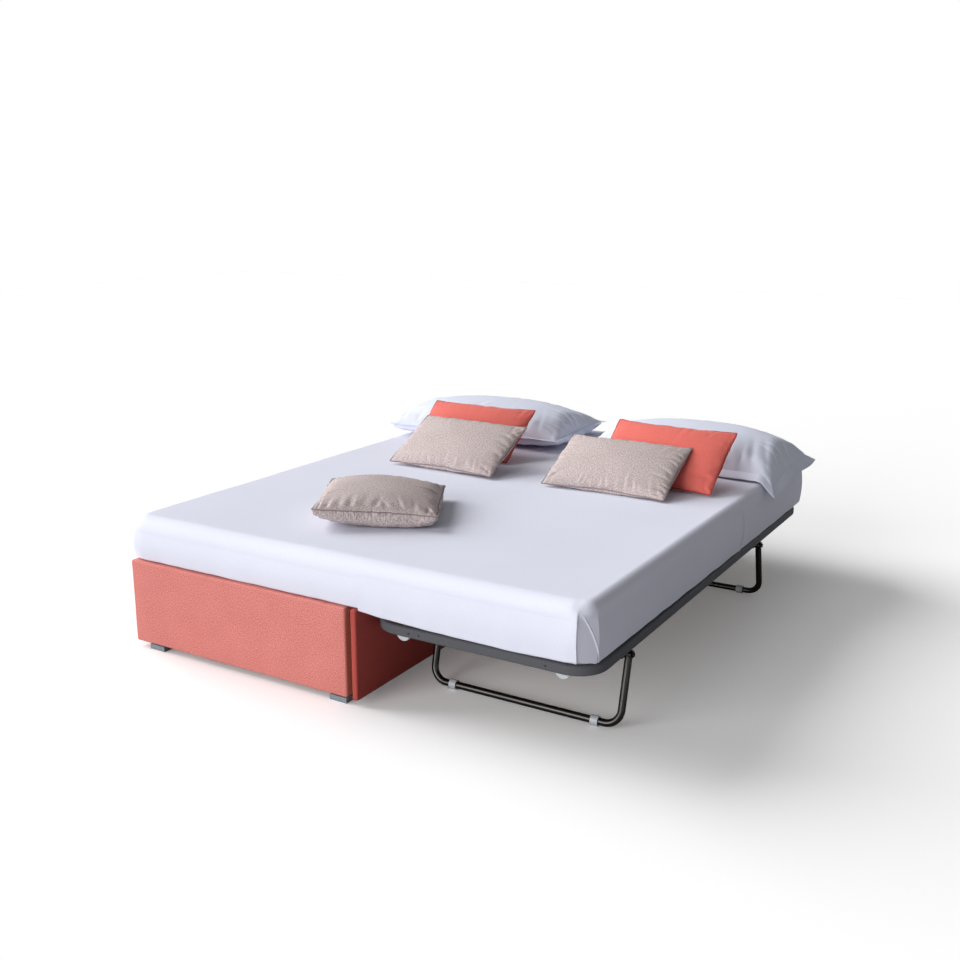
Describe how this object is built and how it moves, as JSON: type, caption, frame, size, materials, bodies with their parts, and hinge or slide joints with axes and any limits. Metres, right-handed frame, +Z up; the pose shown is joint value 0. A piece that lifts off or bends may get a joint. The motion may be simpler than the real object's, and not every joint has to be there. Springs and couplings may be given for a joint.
{
  "type": "upholstered bed with pull-out second bed",
  "caption": "Upholstered box bed with a slatted pull-out second bed raised beside it on folding legs, made up with sheets, pillows and cushions.",
  "frame": {"origin": "on the floor, in the middle of the two beds' footprint", "axes": "+Z up, +Y from the foot end to the head end, +X from the upholstered box to the pulled-out bed"},
  "size_m": [1.7391, 2.04, 0.5959],
  "materials": {
    "coral_upholstery": "matte",
    "panel_board": "matte",
    "black_steel": "satin",
    "silver_feet": "satin",
    "zinc_steel": "satin",
    "slat_wood": "satin",
    "black_plastic": "matte",
    "mattress_ticking": "matte",
    "bed_linen": "matte",
    "coral_cushion_fabric": "matte",
    "beige_cushion_fabric": "matte",
    "pullout_steel": "satin",
    "leg_steel": "gloss",
    "collar_plastic": "satin",
    "wheel_plastic": "satin"
  },
  "bodies": {
    "main_bed": {"foot_panel_cover": "coral_upholstery", "foot_panel_board": "panel_board", "head_panel_cover": "coral_upholstery", "head_panel_board": "panel_board", "left_side_cover": "coral_upholstery", "left_side_board": "panel_board", "front_panel_cover": "coral_upholstery", "front_panel_board": "panel_board", "front_panel_hangers": "black_steel", "block_feet": "silver_feet", "box_left_rail": "black_steel", "box_right_rail": "black_steel", "box_foot_rail": "black_steel", "box_head_rail": "black_steel", "corner_brackets": "black_steel", "frame_bolts": "zinc_steel", "box_slats": "slat_wood", "box_slat_holders": "black_plastic", "box_mattress": "mattress_ticking", "box_sheet": "bed_linen", "left_pillow": "bed_linen", "left_coral_cushion": "coral_cushion_fabric", "left_beige_cushion": "beige_cushion_fabric", "square_cushion": "beige_cushion_fabric"},
    "pullout_bed": {"pullout_left_tube": "pullout_steel", "pullout_right_tube": "pullout_steel", "pullout_foot_tube": "pullout_steel", "pullout_head_tube": "pullout_steel", "pullout_corner_bends": "pullout_steel", "pullout_cross_tubes": "pullout_steel", "pullout_slats": "slat_wood", "pullout_slat_holders": "black_plastic", "leg_brackets": "pullout_steel", "leg_pivot_bolts": "zinc_steel", "wheel_plates": "pullout_steel", "wheel_axles": "zinc_steel", "pullout_mattress": "mattress_ticking", "pullout_sheet": "bed_linen", "right_coral_cushion": "coral_cushion_fabric", "right_beige_cushion": "beige_cushion_fabric", "right_pillow": "bed_linen"},
    "front_leg": {"front_leg_tube": "leg_steel", "front_leg_collars": "collar_plastic"},
    "rear_leg": {"rear_leg_tube": "leg_steel", "rear_leg_collars": "collar_plastic"},
    "foot_left_wheel_body": {"foot_left_wheel": "wheel_plastic"},
    "foot_right_wheel_body": {"foot_right_wheel": "wheel_plastic"},
    "head_left_wheel_body": {"head_left_wheel": "wheel_plastic"},
    "head_right_wheel_body": {"head_right_wheel": "wheel_plastic"}
  },
  "joints": [
    {"name": "pullout_slide", "type": "slide", "parent": "main_bed", "child": "pullout_bed", "axis": [1, 0, 0], "range_m": [0, 0.5]},
    {"name": "front_leg_fold", "type": "hinge", "parent": "pullout_bed", "child": "front_leg", "pos_m": [0.4855, -0.727, 0.207], "axis": [1, 0, 0], "range_deg": [0, 104]},
    {"name": "rear_leg_fold", "type": "hinge", "parent": "pullout_bed", "child": "rear_leg", "pos_m": [0.4855, 0.41, 0.207], "axis": [-1, 0, 0], "range_deg": [0, 104]},
    {"name": "foot_left_wheel_spin", "type": "hinge", "parent": "pullout_bed", "child": "foot_left_wheel_body", "pos_m": [0.198, -0.9379, 0.219], "axis": [0, 1, 0], "continuous": true},
    {"name": "foot_right_wheel_spin", "type": "hinge", "parent": "pullout_bed", "child": "foot_right_wheel_body", "pos_m": [0.694, -0.9379, 0.219], "axis": [0, 1, 0], "continuous": true},
    {"name": "head_left_wheel_spin", "type": "hinge", "parent": "pullout_bed", "child": "head_left_wheel_body", "pos_m": [0.198, 0.8579, 0.219], "axis": [0, 1, 0], "continuous": true},
    {"name": "head_right_wheel_spin", "type": "hinge", "parent": "pullout_bed", "child": "head_right_wheel_body", "pos_m": [0.694, 0.8579, 0.219], "axis": [0, 1, 0], "continuous": true}
  ]
}
